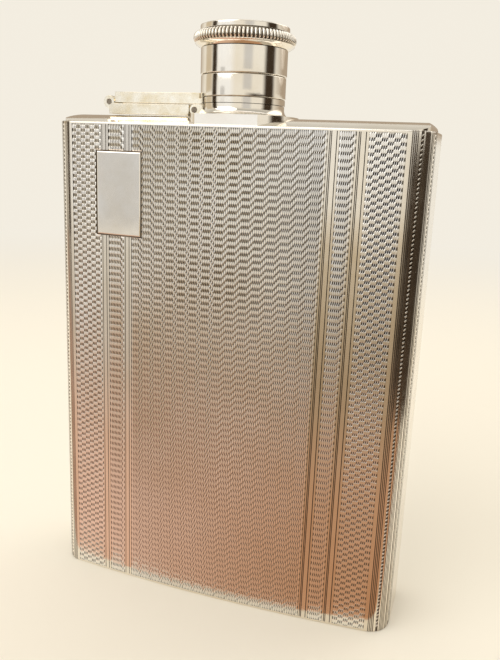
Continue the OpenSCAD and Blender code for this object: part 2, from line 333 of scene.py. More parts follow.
class Finishes:
    """Every finish of the flask, made once."""

    def __init__(self) -> None:
        """Builds the materials."""
        # The turned finish's last colour, near black, is the painted shade in its cuts and beside the dashes.
        self.turned = SilverFinish(
            "engine_turned_silver", (0.95, 0.94, 0.92), (0.87, 0.83, 0.76), (0.12, 0.24), 0.03, 0.05, (0.035, 0.03, 0.025)
        ).build()
        self.case = SilverFinish(
            "case_silver", (0.91, 0.87, 0.80), (0.82, 0.75, 0.64), (0.10, 0.22), 0.025, 0.10
        ).build()
        self.polished = SilverFinish(
            "polished_silver", (0.93, 0.89, 0.82), (0.86, 0.79, 0.68), (0.05, 0.14), 0.012, 0.08
        ).build()
        # Near-black colour for hollows: painted shade in the gaps between the rim's ribs; it also darkens the
        # engraved lines and the plate's incised outline.
        self.engraved = SilverFinish(
            "hollow_dark_and_shade", (0.15, 0.12, 0.09), (0.07, 0.055, 0.04), (0.25, 0.45), 0.006, 0.05
        ).build()
        self.inner = SilverFinish(
            "inner_silver", (0.55, 0.50, 0.42), (0.36, 0.31, 0.24), (0.25, 0.42), 0.008, 0.15
        ).build()
        self.arm = SilverFinish(
            "arm_silver", (0.97, 0.92, 0.80), (0.80, 0.68, 0.46), (0.08, 0.22), 0.004, 0.12
        ).build()
        self.pin = SilverFinish("hinge_pin", (0.30, 0.26, 0.21), (0.14, 0.11, 0.08), (0.22, 0.40), 0.002, 0.2).build()
        self.cork = CorkFinish().build()


# ------------------------------------------------------------------ mesh tools


def show(name: str, mesh: bpy.types.Mesh) -> bpy.types.Object:
    """Links a mesh to the scene as an object at the origin.

    Args:
        name: The piece's name.
        mesh: Its mesh, in metres in the frame.

    Returns:
        The new object.
    """
    mesh.name = name
    made = bpy.data.objects.new(name, mesh)
    bpy.context.scene.collection.objects.link(made)
    return made


def soften(mesh: bpy.types.Mesh, sharp: float = 32.0) -> None:
    """Shades a mesh smooth, except across edges sharper than an angle in degrees."""
    mesh.polygons.foreach_set("use_smooth", [True] * len(mesh.polygons))
    mesh.set_sharp_from_angle(angle=math.radians(sharp))
    mesh.update()


def mesh_from(points: Sequence[Vector], faces: Sequence[Sequence[int]], materials: Iterable[bpy.types.Material],
              dark: Sequence[int] = ()) -> bpy.types.Mesh:
    """Makes a mesh from points and faces.

    Args:
        points: Vertex places in metres.
        faces: Vertex numbers of each face.
        materials: The materials in slot order.
        dark: Numbers of the faces that take the second material.

    Returns:
        The mesh, smooth where it curves.
    """
    mesh = bpy.data.meshes.new("made")
    mesh.from_pydata([tuple(p) for p in points], [], [tuple(f) for f in faces])
    for material in materials:
        mesh.materials.append(material)
    for number in dark:
        mesh.polygons[number].material_index = 1
    bm = bmesh.new()
    bm.from_mesh(mesh)
    bmesh.ops.recalc_face_normals(bm, faces=bm.faces)
    bm.to_mesh(mesh)
    bm.free()
    soften(mesh)
    return mesh


def joined(meshes: Sequence[bpy.types.Mesh], materials: Sequence[bpy.types.Material]) -> bpy.types.Mesh:
    """Puts several meshes into one, keeping each face's material by name.

    Args:
        meshes: The meshes to put together, which are removed.
        materials: The materials of the result.

    Returns:
        The joined mesh.
    """
    result = bpy.data.meshes.new("joined")
    bm = bmesh.new()
    for mesh in meshes:
        first = len(bm.faces)
        names = [m.name if m else "" for m in mesh.materials]
        bm.from_mesh(mesh)
        bm.faces.ensure_lookup_table()
        for face in bm.faces[first:]:
            name = names[face.material_index] if names else ""
            face.material_index = next((i for i, m in enumerate(materials) if m.name == name), 0)
    bm.to_mesh(result)
    bm.free()
    for material in materials:
        result.materials.append(material)
    for mesh in meshes:
        bpy.data.meshes.remove(mesh)
    return result


def lathe(profile: Sequence[tuple[float, float]], axis_y: float, steps: int = 192) -> tuple[list[Vector], list[list[int]]]:
    """Turns a closed profile about the neck's axis.

    Args:
        profile: Radius and height of each corner in millimetres, in order round the section.
        axis_y: The axis' place in millimetres.
        steps: Divisions round the axis.

    Returns:
        Vertex places in metres and the faces.
    """
    points: list[Vector] = []
    rings: list[list[int]] = []
    for radius, height in profile:
        count = 1 if radius < 1e-6 else steps
        rings.append([len(points) + i for i in range(count)])
        for i in range(count):
            turn = 2 * math.pi * i / steps
            points.append(Vector((radius * math.cos(turn), axis_y + radius * math.sin(turn), height)) * MM)
    faces: list[list[int]] = []
    for low, high in zip(rings, rings[1:] + rings[:1]):
        if len(low) == len(high) == 1:
            continue
        for i in range(steps):
            j = (i + 1) % steps
            corners = [low[i % len(low)], low[j % len(low)], high[j % len(high)], high[i % len(high)]]
            faces.append(list(dict.fromkeys(corners)))
    return points, faces


def rounded(corners: Sequence[tuple[float, float, float]], steps: int = 4) -> list[tuple[float, float]]:
    """Rounds the corners of a closed section.

    Args:
        corners: Radius, height and rounding of each corner, in millimetres.
        steps: Segments of each rounding.

    Returns:
        The section's points in order.
    """
    result: list[tuple[float, float]] = []
    count = len(corners)
    for i, (r, z, fillet) in enumerate(corners):
        here = Vector((r, z))
        if fillet <= 0:
            result.append((r, z))
            continue
        to_last = (Vector(corners[i - 1][:2]) - here)
        to_next = (Vector(corners[(i + 1) % count][:2]) - here)
        reach = min(fillet, 0.45 * to_last.length, 0.45 * to_next.length)
        start, end = here + to_last.normalized() * reach, here + to_next.normalized() * reach
        for k in range(steps + 1):
            t = k / steps
            point = start * (1 - t) ** 2 + here * 2 * t * (1 - t) + end * t * t
            result.append((point.x, point.y))
    return result


def smooth_copy(node: str, sharp: float = 30.0, flatten: bool = False) -> bpy.types.Mesh:
    """Copies a CAD node's mesh with its loose triangles welded and its curves shaded smooth.

    Args:
        node: The CAD node's name.
        sharp: Edges sharper than this many degrees stay crisp.
        flatten: Whether triangles that lie in one plane are merged.

    Returns:
        The welded mesh, without materials.
    """
    mesh = frame["nodes"][node].data.copy()
    mesh.materials.clear()
    if "custom_normal" in mesh.attributes:
        mesh.attributes.remove(mesh.attributes["custom_normal"])
    bm = bmesh.new()
    bm.from_mesh(mesh)
    bmesh.ops.remove_doubles(bm, verts=bm.verts, dist=0.002 * MM)
    if flatten:
        bmesh.ops.dissolve_limit(bm, angle_limit=math.radians(0.4), verts=bm.verts, edges=bm.edges)
    bmesh.ops.recalc_face_normals(bm, faces=bm.faces)
    for face in bm.faces:
        face.material_index = 0
    bm.to_mesh(mesh)
    bm.free()
    soften(mesh, sharp)
    return mesh


def place(piece: bpy.types.Object, body: Body, slot: Slot, *nodes: str) -> bpy.types.Object:
    """Makes a piece ride on its body and stand for its CAD nodes.

    Args:
        piece: The finished piece.
        body: The body it moves with.
        slot: The record's slot it would take its finish from; not used.
        nodes: The CAD nodes it stands for.

    Returns:
        The piece.
    """
    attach(piece, body.value)
    if nodes:
        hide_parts(*nodes)
    LOG.info("%s: %d faces on %s", piece.name, len(piece.data.polygons), body.value)
    return piece


# ------------------------------------------------------------------- the case


@dataclass(frozen=True)
class Outline:
    """The plan of the case: two arcs about one centre behind it, joined by round corners and flat sides.

    Lengths are in millimetres. A place on it is its distance from the middle of the front, to the right.
    """

    half_width: float = 40.1
    front_y: float = -11.341
    front_radius: float = 383.0
    back_radius: float = 362.0
    corner: float = 5.0
    height: float = 105.0
    wall: float = 0.8
    seam_y: float = -6.941

    @property
    def centre_y(self) -> float:
        """The common centre of both arcs."""
        return self.front_y + self.front_radius

    @property
    def corner_x(self) -> float:
        """Sideways place of the corners' centres."""
        return self.half_width - self.corner

    def corner_y(self, face: Face) -> float:
        """Depth of a corner's centre on one face."""
        if face is Face.FRONT:
            reach = self.front_radius - self.corner
        else:
            reach = self.back_radius + self.corner
        return self.centre_y - math.sqrt(reach**2 - self.corner_x**2)

    def half_arc(self, face: Face) -> float:
        """Length of half a face's arc."""
        if face is Face.FRONT:
            return self.front_radius * math.asin(self.corner_x / (self.front_radius - self.corner))
        return self.back_radius * math.asin(self.corner_x / (self.back_radius + self.corner))

    def lengths(self) -> list[float]:
        """Distances where each stretch ends: front arc, front corner, side, back corner, back arc."""
        front_turn = math.pi / 2 - math.asin(self.corner_x / (self.front_radius - self.corner))
        back_turn = math.pi / 2 + math.asin(self.corner_x / (self.back_radius + self.corner))
        steps = [
            self.half_arc(Face.FRONT),
            self.corner * front_turn,
            self.corner_y(Face.BACK) - self.corner_y(Face.FRONT),
            self.corner * back_turn,
            self.half_arc(Face.BACK),
        ]
        return [sum(steps[: i + 1]) for i in range(len(steps))]

    def at(self, distance: float) -> tuple[Vector, Vector]:
        """Finds a place on the outline.

        Args:
            distance: How far from the middle of the front, to the right if positive.

        Returns:
            The point and the outward direction there.
        """
        side = 1.0 if distance >= 0 else -1.0
        s = abs(distance)
        ends = self.lengths()
        if s <= ends[0]:
            turn = s / self.front_radius
            out = Vector((math.sin(turn), -math.cos(turn)))
            point = Vector((0, self.centre_y)) + out * self.front_radius
        elif s <= ends[1]:
            turn = (s - ends[0]) / self.corner + math.asin(self.corner_x / (self.front_radius - self.corner))
            out = Vector((math.sin(turn), -math.cos(turn)))
            point = Vector((self.corner_x, self.corner_y(Face.FRONT))) + out * self.corner
        elif s <= ends[2]:
            out = Vector((1.0, 0.0))
            point = Vector((self.half_width, self.corner_y(Face.FRONT) + s - ends[1]))
        elif s <= ends[3]:
            turn = (s - ends[2]) / self.corner
            out = Vector((math.cos(turn), math.sin(turn)))
            point = Vector((self.corner_x, self.corner_y(Face.BACK))) + out * self.corner
        else:
            turn = (ends[4] - s) / self.back_radius
            out = Vector((-math.sin(turn), math.cos(turn)))
            point = Vector((math.sin(turn), -math.cos(turn))) * self.back_radius + Vector((0, self.centre_y))
        return Vector((point.x * side, point.y)), Vector((out.x * side, out.y))

    def seam(self) -> float:
        """Distance of the joint between the two shells."""
        drop = (self.seam_y - self.corner_y(Face.FRONT)) / self.corner
        turn = math.pi / 2 + math.asin(drop)
        return self.lengths()[0] + self.corner * (
            turn - math.asin(self.corner_x / (self.front_radius - self.corner))
        )


@dataclass(frozen=True)
class Line:
    """One straight engraved line down the case: its place on the outline, width and depth."""

    at: float
    width: float = 0.22
    depth: float = 0.09


@dataclass(frozen=True)
class Zone:
    """A stretch of engine turning between two places across a face.

    Attributes:
        left: Left limit.
        right: Right limit.
        group: How many cut lines make one repeat across.
        hold: How many of them keep in step before the wave slips.
        slip: How far each later line slips, in waves.
        most: The most that a line slips, in waves.
        mirror: Where the slip changes direction.
        swing: How far each line waves sideways.
        dash: How much shallower a cut is between its dashes, and how much less painted shade its bottom takes there.
        shade: How much painted shade darkens the metal between the cuts beside a dash.
    """

    left: float
    right: float
    group: float
    hold: float
    slip: float
    most: float
    mirror: float = 0.0
    swing: float = 0.07
    dash: float = 0.3
    shade: float = 0.05


@dataclass
class EngineTurning:
    """The waved cuts of the broad faces.

    Attributes:
        pitch: Distance between neighbouring cut lines.
        wave: Length of one wave.
        samples: Points along each wave.
        depth: Depth of the cuts.
        margin: Plain strip left above and below.
        edge_drop: How far the border turns in.
        zones: The stretches, from left to right on the front.
    """

    outline: Outline
    pitch: float = 0.393
    wave: float = 1.36
    samples: int = 6
    depth: float = 0.075
    margin: float = 0.55
    edge_drop: float = 0.3
    edge_width: float = 0.03
    sunk: float = 0.14
    middle: Zone = Zone(-20.55, 20.85, 7, 5, 1 / 3, 1.0, 0.2)
    sides: tuple[Zone, ...] = (
        Zone(-35.4, -28.05, 6, 3, 0.5, 0.5, 0.0, 0.04, 0.7, 0.3),
        Zone(-26.2, -22.35, 10, 8, 1 / 3, 1.0, 0.0, 0.05, 0.45, 0.15),
        Zone(23.0, 26.2, 8, 6, 1 / 3, 1.0, 0.0, 0.05, 0.45, 0.15),
        Zone(28.5, 35.4, 6, 3, 0.5, 0.5, 0.0, 0.04, 0.7, 0.3),
    )

    def rule(self, finish: bpy.types.Material) -> Rule:
        """Builds the tree that cuts one zone.

        Args:
            finish: The material of the cuts.

        Returns:
            The rule, whose sizes are in metres.
        """
        r = Rule("engine_turning")
        left, bottom = r.size("Left"), r.size("Bottom")
        pitch, wave = r.size("Pitch"), r.size("Wave")
        columns, rows = r.size("Columns", True), r.size("Rows", True)
        height, swing = r.size("Height"), r.size("Swing")
        group, hold = r.size("Group"), r.size("Hold")
        slip, most, mirror = r.size("Slip"), r.size("Most"), r.size("Mirror")
        border = r.size("Edge width")
        depth, dash, shade = r.size("Depth"), r.size("Dash"), r.size("Shade")
        radius, centre, face = r.size("Radius"), r.size("Centre"), r.size("Face")
        drop, sunk = r.size("Edge drop"), r.size("Sunk")
        plate = [r.size(n) for n in ("Plate x", "Plate z", "Plate half width", "Plate half height")]
        width = r.math("MULTIPLY", r.math("SUBTRACT", columns, 1.0), r.math("MULTIPLY", pitch, 0.5))
        grid = r.node(
            "GeometryNodeMeshGrid",
            {"Size X": width, "Size Y": height, "Vertices X": columns, "Vertices Y": rows},
        )
        spot = r.node("ShaderNodeSeparateXYZ", {0: r.node("GeometryNodeInputPosition").outputs[0]})
        across = r.math("ADD", spot.outputs[0], r.math("MULTIPLY", width, 0.5))
        up = r.math("ADD", spot.outputs[1], r.math("MULTIPLY", height, 0.5))
        column = r.math("ROUND", r.math("DIVIDE", across, r.math("MULTIPLY", pitch, 0.5)))
        row = r.math(
            "ROUND", r.math("MULTIPLY", r.math("DIVIDE", up, height), r.math("SUBTRACT", rows, 1.0))
        )
        valley = r.math("FLOORED_MODULO", column, 2.0)
        line = r.math("FLOOR", r.math("MULTIPLY", column, 0.5))
        late = r.math("MAXIMUM", r.math("SUBTRACT", r.math("FLOORED_MODULO", line, group), r.math("SUBTRACT", hold, 1.0)), 0.0)
        slipped = r.math("MINIMUM", r.math("MULTIPLY", late, slip), most)
        way = r.math("SIGN", r.math("SUBTRACT", r.math("ADD", across, left), mirror))
        phase = r.math("SUBTRACT", r.math("DIVIDE", up, wave), r.math("MULTIPLY", slipped, way))
        last_column = r.math("SUBTRACT", columns, 1.5)
        last_row = r.math("SUBTRACT", rows, 1.5)
        across = self.crowded(r, across, column, last_column, r.math("MULTIPLY", pitch, 0.5), border)
        up_step = r.math("DIVIDE", height, r.math("SUBTRACT", rows, 1.0))
        high = self.crowded(r, up, row, last_row, up_step, border)
        edge = r.math(
            "MAXIMUM",
            r.math("MAXIMUM", r.math("LESS_THAN", column, 0.5), r.math("GREATER_THAN", column, last_column)),
            r.math("MAXIMUM", r.math("LESS_THAN", row, 0.5), r.math("GREATER_THAN", row, last_row)),
        )
        inner = r.math("SUBTRACT", 1.0, edge)
        straight = r.math("ADD", across, left)
        near_edge = r.math("MAXIMUM", r.math("LESS_THAN", column, 1.5), r.math("GREATER_THAN", column, r.math("SUBTRACT", columns, 2.5)))
        turn = r.math("MULTIPLY", phase, 2 * math.pi)
        sideways = r.math("MULTIPLY", r.math("SINE", turn), r.math("MULTIPLY", swing, r.math("SUBTRACT", 1.0, near_edge)))
        x = r.math("ADD", straight, r.math("MULTIPLY", sideways, inner))
        z = r.math("ADD", high, bottom)
        crest = r.math("ADD", 0.5, r.math("MULTIPLY", r.math("COSINE", turn), 0.9))
        dashed = r.math("MINIMUM", r.math("MAXIMUM", crest, 0.0), 1.0)
        lull = r.math("SUBTRACT", 1.0, dashed)
        # Painted shade: the stored share darkens the bottom of each cut, less between the dashes, and the metal
        # beside each dash by Shade. It stands in for the dark reflections of the cut facets.
        cut = r.math("MULTIPLY", valley, r.math("SUBTRACT", 1.0, r.math("MULTIPLY", lull, dash)))
        tone = r.math("MAXIMUM", cut, r.math("MULTIPLY", dashed, shade))
        outside = r.math(
            "MAXIMUM",
            r.math("SUBTRACT", r.math("ABSOLUTE", r.math("SUBTRACT", straight, plate[0])), plate[2]),
            r.math("SUBTRACT", r.math("ABSOLUTE", r.math("SUBTRACT", z, plate[1])), plate[3]),
        )
        under = r.math("LESS_THAN", outside, 0.0)
        relief = r.math("MAXIMUM", r.math("MULTIPLY", cut, depth), r.math("MULTIPLY", under, sunk))
        relief = r.math("MAXIMUM", relief, r.math("MULTIPLY", edge, drop))
        root = r.math("SQRT", r.math("SUBTRACT", r.math("MULTIPLY", radius, radius), r.math("MULTIPLY", x, x)))
        y = r.math("ADD", r.math("SUBTRACT", centre, root), r.math("MULTIPLY", relief, face))
        shade_marked = r.node(
            "GeometryNodeStoreNamedAttribute",
            {"Geometry": grid.outputs[0], "Name": CUT_SHADE_ATTRIBUTE, "Value": tone},
            data_type="FLOAT",
            domain="POINT",
        )
        moved = r.node(
            "GeometryNodeSetPosition",
            {
                "Geometry": shade_marked.outputs[0],
                "Position": r.node(
                    "ShaderNodeCombineXYZ", {0: r.math("MULTIPLY", x, face), 1: y, 2: z}
                ).outputs[0],
            },
        )
        r.end(moved.outputs[0], finish)
        return r

    def crowded(self, r: Rule, along: Socket, number: Socket, last: Socket, step: Socket, width: Socket) -> Socket:
        """Moves the second and the last but one row of points close to the border, so that the border is crisp.

        Args:
            r: The tree.
            along: Where each point is.
            number: Its row's number.
            last: Half a step before the last row's number.
            step: Distance between rows.
            width: Distance left to the border.

        Returns:
            The new places.
        """
        shift = r.math("SUBTRACT", step, width)
        second = r.math("COMPARE", number, 1.0, 0.1)
        before_last = r.math("COMPARE", number, r.math("SUBTRACT", last, 0.5), 0.1)
        return r.math("ADD", along, r.math("MULTIPLY", shift, r.math("SUBTRACT", before_last, second)))

    def close_back(self, mesh: bpy.types.Mesh, columns: int, rows: int) -> None:
        """Closes the hidden side of a zone, column by column, so that the piece is solid.

        Args:
            mesh: The zone's mesh.
            columns: Its points across.
            rows: Its points up each column.
        """
        bm = bmesh.new()
        bm.from_mesh(mesh)
        bm.verts.ensure_lookup_table()
        ups = [[bm.verts[c * rows + i] for i in range(rows)] for c in range(columns)]
        bm.faces.new([*reversed(ups[0]), ups[1][0], ups[1][-1]])
        for c in range(1, columns - 2):
            bm.faces.new([ups[c][0], ups[c + 1][0], ups[c + 1][-1], ups[c][-1]])
        bm.faces.new([*ups[-1], ups[-2][-1], ups[-2][0]])
        bmesh.ops.recalc_face_normals(bm, faces=bm.faces)
        bm.to_mesh(mesh)
        bm.free()

    def cut_zones(self, rule: Rule, zones: Sequence[Zone], face: Face, plate: "Cartouche | None",
                  finish: bpy.types.Material) -> bpy.types.Mesh:
        """Runs the rule over some zones of one face.

        Args:
            rule: The tree that cuts a zone.
            zones: The zones to cut.
            face: The face they lie on.
            plate: The plain plate they leave room for, if there is one.
            finish: Their material.

        Returns:
            One mesh with all of them.
        """
        outline = self.outline
        tall = outline.height - 2 * self.margin
        waves = round(tall / self.wave)
        rows = waves * self.samples + 1
        made = []
        for zone in zones:
            columns = 2 * round((zone.right - zone.left) / self.pitch) + 1
            pitch = 2 * (zone.right - zone.left) / (columns - 1)
            mesh = rule.run(
                Left=zone.left * MM, Bottom=self.margin * MM, Pitch=pitch * MM, Wave=tall / waves * MM,
                Columns=columns, Rows=rows, Height=tall * MM, Swing=zone.swing * MM,
                Group=zone.group, Hold=zone.hold, Slip=zone.slip, Most=zone.most, Mirror=zone.mirror * MM,
                Edge_width=self.edge_width * MM, Depth=self.depth * MM, Dash=zone.dash, Shade=zone.shade,
                Radius=(outline.front_radius if face is Face.FRONT else outline.back_radius) * MM,
                Centre=outline.centre_y * MM, Face=float(face.value), Edge_drop=self.edge_drop * MM,
                Sunk=self.sunk * MM,
                Plate_x=(plate.x if plate else 0.0) * MM, Plate_z=(plate.z if plate else -99.0) * MM,
                Plate_half_width=(plate.half_width + plate.gap if plate else 1.0) * MM,
                Plate_half_height=(plate.half_height + plate.gap if plate else 1.0) * MM,
            )
            self.close_back(mesh, columns, rows)
            made.append(mesh)
        mesh = joined(made, [finish])
        layer = mesh.uv_layers.new(name=BAKE_MAP)
        wide, high = 2 * outline.half_width * MM, outline.height * MM
        for loop, uv in zip(mesh.loops, layer.uv):
            point = mesh.vertices[loop.vertex_index].co
            uv.vector = (point.x / wide + 0.5, point.z / high)
        return mesh

    def build(self, finishes: Finishes, plate: "Cartouche") -> None:
        """Makes the turned panels of both faces.

        Args:
            finishes: The flask's finishes.
            plate: The plate on the front.
        """
        rule = self.rule(finishes.turned)
        for face in Face:
            held = plate if face is Face.FRONT else None
            name = face.name.lower()
            for part, zones in (("field", (self.middle,)), ("bands", self.sides)):
                mesh = self.cut_zones(rule, zones, face, held, finishes.turned)
                place(show(f"{name}_turned_{part}", mesh), Body.FLASK, Slot.TURNED)


@dataclass
class Cartouche:
    """The plain plate left for initials, with an incised outline.

    Attributes:
        x: Middle, across the front.
        z: Middle, above the base.
        half_width: Half its width.
        half_height: Half its height.
        gap: Width of the incised outline.
        bevel: Width of its bright bevel.
        proud: How far its flat stands off the arc.
    """

    outline: Outline
    x: float = -23.72
    z: float = 90.3
    half_width: float = 5.3
    half_height: float = 8.65
    gap: float = 0.3
    bevel: float = 0.2
    proud: float = 0.03
    lip: float = 0.012
    root: float = 0.3

    def build(self, finishes: Finishes) -> None:
        """Makes the plate as a thin curved block with bevelled edges."""
        o = self.outline
        levels = (
            (self.bevel, self.proud), (0.0, -0.04), (-self.gap * 0.45, -0.08), (-self.gap, self.lip), (-self.gap, -self.root)
        )
        points: list[Vector] = []
        across, up = 24, 2
        for inset, proud in levels:
            hw, hh = self.half_width - inset, self.half_height - inset
            border = [(-hw + 2 * hw * i / across, -hh) for i in range(across)]
            border += [(hw, -hh + 2 * hh * i / up) for i in range(up)]
            border += [(hw - 2 * hw * i / across, hh) for i in range(across)]
            border += [(-hw, hh - 2 * hh * i / up) for i in range(up)]
            for dx, dz in border:
                x = self.x + dx
                y = o.centre_y - math.sqrt((o.front_radius + proud) ** 2 - x * x)
                points.append(Vector((x, y, self.z + dz)) * MM)
        count = len(points) // len(levels)
        faces = [
            [k * count + i, k * count + (i + 1) % count, (k + 1) * count + (i + 1) % count, (k + 1) * count + i]
            for k in range(len(levels) - 1)
            for i in range(count)
        ]
        dark = list(range(count, 3 * count))
        for base in (0, (len(levels) - 1) * count):
            bottom = list(range(base, base + across + 1))
            top = list(range(base + across + up, base + 2 * across + up + 1))[::-1]
            right, left = base + across + 1, base + 2 * across + up + 1
            for i in range(across):
                face = [bottom[i], bottom[i + 1], top[i + 1], top[i]]
                if i == 0:
                    face.append(left)
                if i == across - 1:
                    face.insert(2, right)
                faces.append(face)
        mesh = mesh_from(points, faces, [finishes.polished, finishes.engraved], dark)
        soften(mesh, 10.0)
        place(show("cartouche_plate", mesh), Body.FLASK, Slot.POLISHED)


@dataclass
class Case:
    """The two silver shells, with their engraved lines, and the rope columns on the corners.

    Attributes:
        reeds: Middles of the reeded groups on a face, with half their width.
        edge_round: Rounding of the top and bottom edges.
        seam_chamfer: Size of the groove at the joint.
    """

    outline: Outline
    turning: EngineTurning
    plate: Cartouche
    edge_round: float = 0.3
    seam_chamfer: float = 0.13
    arc_step: float = 1.6
    corner_step: float = 0.25
    narrow_reeds: tuple[float, ...] = (-27.12, -21.45)
    wide_reeds: tuple[float, ...] = (21.93, 27.35)
    side_lines: tuple[float, ...] = (36.35, 36.7, 37.05, 37.4, 39.0, 39.35, 39.7, 40.05)
    rear_lines: tuple[float, ...] = (41.15, 42.9, 43.25, 43.6)
    rope_places: tuple[float, ...] = (38.3, 42.0)
    rope_inset: float = 0.09
    rope_pitch: float = 0.87

    def reeds(self) -> list[Line]:
        """The reeded lines of a face, by place across it."""
        found = [Line(at + d, 0.15, 0.09) for at in self.narrow_reeds for d in (-0.6, 0.35)]
        found += [Line(at + d, 0.17, 0.10) for at in self.wide_reeds for d in (-0.72, -0.42, 0.6)]
        return found

    def along(self, x: float, face: Face) -> float:
        """Distance on the outline of a place across a face, from that face's middle."""
        radius = self.outline.front_radius if face is Face.FRONT else self.outline.back_radius
        return radius * math.asin(x / radius)

    def zone_limits(self, face: Face) -> list[tuple[float, float]]:
        """Stretches of the outline that lie under the turned zones."""
        turning = self.turning
        zones = (turning.middle, *turning.sides)
        limits = sorted((self.along(z.left, face), self.along(z.right, face)) for z in zones)
        merged = [limits[0]]
        for low, high in limits[1:]:
            if low <= merged[-1][1] + 1e-6:
                merged[-1] = (merged[-1][0], high)
            else:
                merged.append((low, high))
        return merged

    def sections(self) -> list[tuple[float, float, bool, bool]]:
        """Heights of the loft: height, inset, whether it is turned, and whether it is beside the plate."""
        o, t, p = self.outline, self.turning, self.plate
        r, eps = self.edge_round, 0.02
        low, high = t.margin, o.height - t.margin
        plate_low, plate_high = p.z - p.half_height - p.gap, p.z + p.half_height + p.gap
        rows = [(r - r * math.cos(a), r - r * math.sin(a), False, False) for a in self.quarter()]
        rows += [(r, 0.0, False, False), (low, 0.0, False, False), (low + eps, 0.0, True, False)]
        rows += [(plate_low, 0.0, True, False), (plate_low + eps, 0.0, True, True)]
        rows += [(plate_high - eps, 0.0, True, True), (plate_high, 0.0, True, False)]
        rows += [(high - eps, 0.0, True, False), (high, 0.0, False, False), (o.height - r, 0.0, False, False)]
        rows += [
            (o.height - (r - r * math.cos(a)), r - r * math.sin(a), False, False) for a in reversed(self.quarter())
        ]
        return rows

    @staticmethod
    def quarter() -> list[float]:
        """Angles of the steps of a rounded edge."""
        return [i * math.pi / 8 for i in range(4)]

    def stations(self, start: float, end: float, lines: Sequence[Line],
                 limits: Sequence[tuple[float, float]], middle: float, ends: Sequence[float]) -> list[float]:
        """Chooses the places on the outline where the loft has a column.

        Args:
            start: First place.
            end: Last place.
            lines: The engraved lines.
            limits: The turned stretches, measured from middle.
            middle: Place of the face's middle.
            ends: Places where one stretch of the outline meets the next.

        Returns:
            The places in order.
        """
        places = {start, end, *(e for e in ends if start < e < end)}
        s = start
        while s < end:
            places.add(round(s, 4))
            s += self.corner_step if self.on_corner(s) else self.arc_step
        kept = {
            p for p in places
            if all(abs(p - line.at) > line.width / 2 + 0.02 for line in lines)
        } | {start, end}
        for line in lines:
            kept |= {line.at - line.width / 2, line.at, line.at + line.width / 2}
        for low, high in limits:
            kept |= {middle + low, middle + low + 0.02, middle + high - 0.02, middle + high}
        for edge, way in ((start, 1), (end, -1)):
            kept.add(edge + way * self.seam_chamfer)
        return sorted(kept)

    def on_corner(self, s: float) -> bool:
        """Whether a place lies on one of the round corners."""
        ends = self.outline.lengths()
        whole = 2 * ends[4]
        near = min(abs(s), abs(whole - abs(s))) if abs(s) > ends[4] else abs(s)
        return ends[0] <= near <= ends[1] or ends[2] <= near <= ends[3]

    def point(self, s: float, inset: float, z: float) -> Vector:
        """A place on the case in metres, moved in by inset millimetres."""
        whole = 2 * self.outline.lengths()[4]
        here, out = self.outline.at(s if s <= whole / 2 else s - whole)
        flat = here - out * inset
        return Vector((flat.x, flat.y, z)) * MM

    def loft(self, face: Face, start: float, end: float, lines: Sequence[Line], finishes: Finishes) -> bpy.types.Mesh:
        """Lofts one shell as a closed wall.

        Args:
            face: The broad face it holds.
            start: Place of one joint.
            end: Place of the other joint.
            lines: Its engraved lines.
            finishes: The flask's finishes.

        Returns:
            The shell's mesh.
        """
        middle = 0.0 if face is Face.FRONT else self.outline.lengths()[4]
        limits = self.zone_limits(face)
        corners = [e for s in (-1, 1) for e in (s * x for x in self.outline.lengths())]
        places = self.stations(start, end, lines, limits, middle, corners)
        rows = self.sections()
        plate = self.plate
        reach = plate.half_width + plate.gap
        plate_range = (self.along(plate.x - reach, Face.FRONT), self.along(plate.x + reach, Face.FRONT))

        def depth(s: float, turned: bool, beside: bool) -> float:
            """Depth of the surface at a place."""
            if min(s - start, end - s) < 1e-6:
                return self.seam_chamfer
            if turned and any(middle + low + 0.01 < s < middle + high - 0.01 for low, high in limits):
                return self.turning.sunk
            if beside and face is Face.FRONT and plate_range[0] < s < plate_range[1]:
                return self.turning.sunk
            cut = next((line for line in lines if abs(s - line.at) < line.width / 2 - 1e-6), None)
            broad = abs(s - middle) < self.along(35.4, Face.FRONT)
            return cut.depth if cut and (turned or not broad) else 0.0

        points: list[Vector] = []
        depths: list[list[float]] = []
        for z, inset, turned, beside in rows:
            depths.append([depth(s, turned, beside) for s in places])
            points += [self.point(s, inset + d, z) for s, d in zip(places, depths[-1])]
        outer = len(points)
        for z, *_ in rows:
            points += [self.point(s, self.outline.wall, z) for s in places]
        n, m = len(places), len(rows)
        faces: list[list[int]] = []
        dark: list[int] = []
        for j in range(m - 1):
            for i in range(n - 1):
                a, b = j * n + i, (j + 1) * n + i
                around = (depths[j][i], depths[j][i + 1], depths[j + 1][i], depths[j + 1][i + 1])
                if max(around) > 0.05 and self.turning.sunk not in around:
                    dark.append(len(faces))
                faces.append([a, a + 1, b + 1, b])
                faces.append([outer + b, outer + b + 1, outer + a + 1, outer + a])
        for i in range(n - 1):
            faces.append([outer + i, outer + i + 1, i + 1, i])
            top = (m - 1) * n + i
            faces.append([top, top + 1, outer + top + 1, outer + top])
        for j in range(m - 1):
            for i, flip in ((0, False), (n - 1, True)):
                a, b = j * n + i, (j + 1) * n + i
                quad = [a, b, outer + b, outer + a]
                faces.append(quad[::-1] if flip else quad)
        return mesh_from(points, faces, [finishes.case, finishes.engraved], dark)

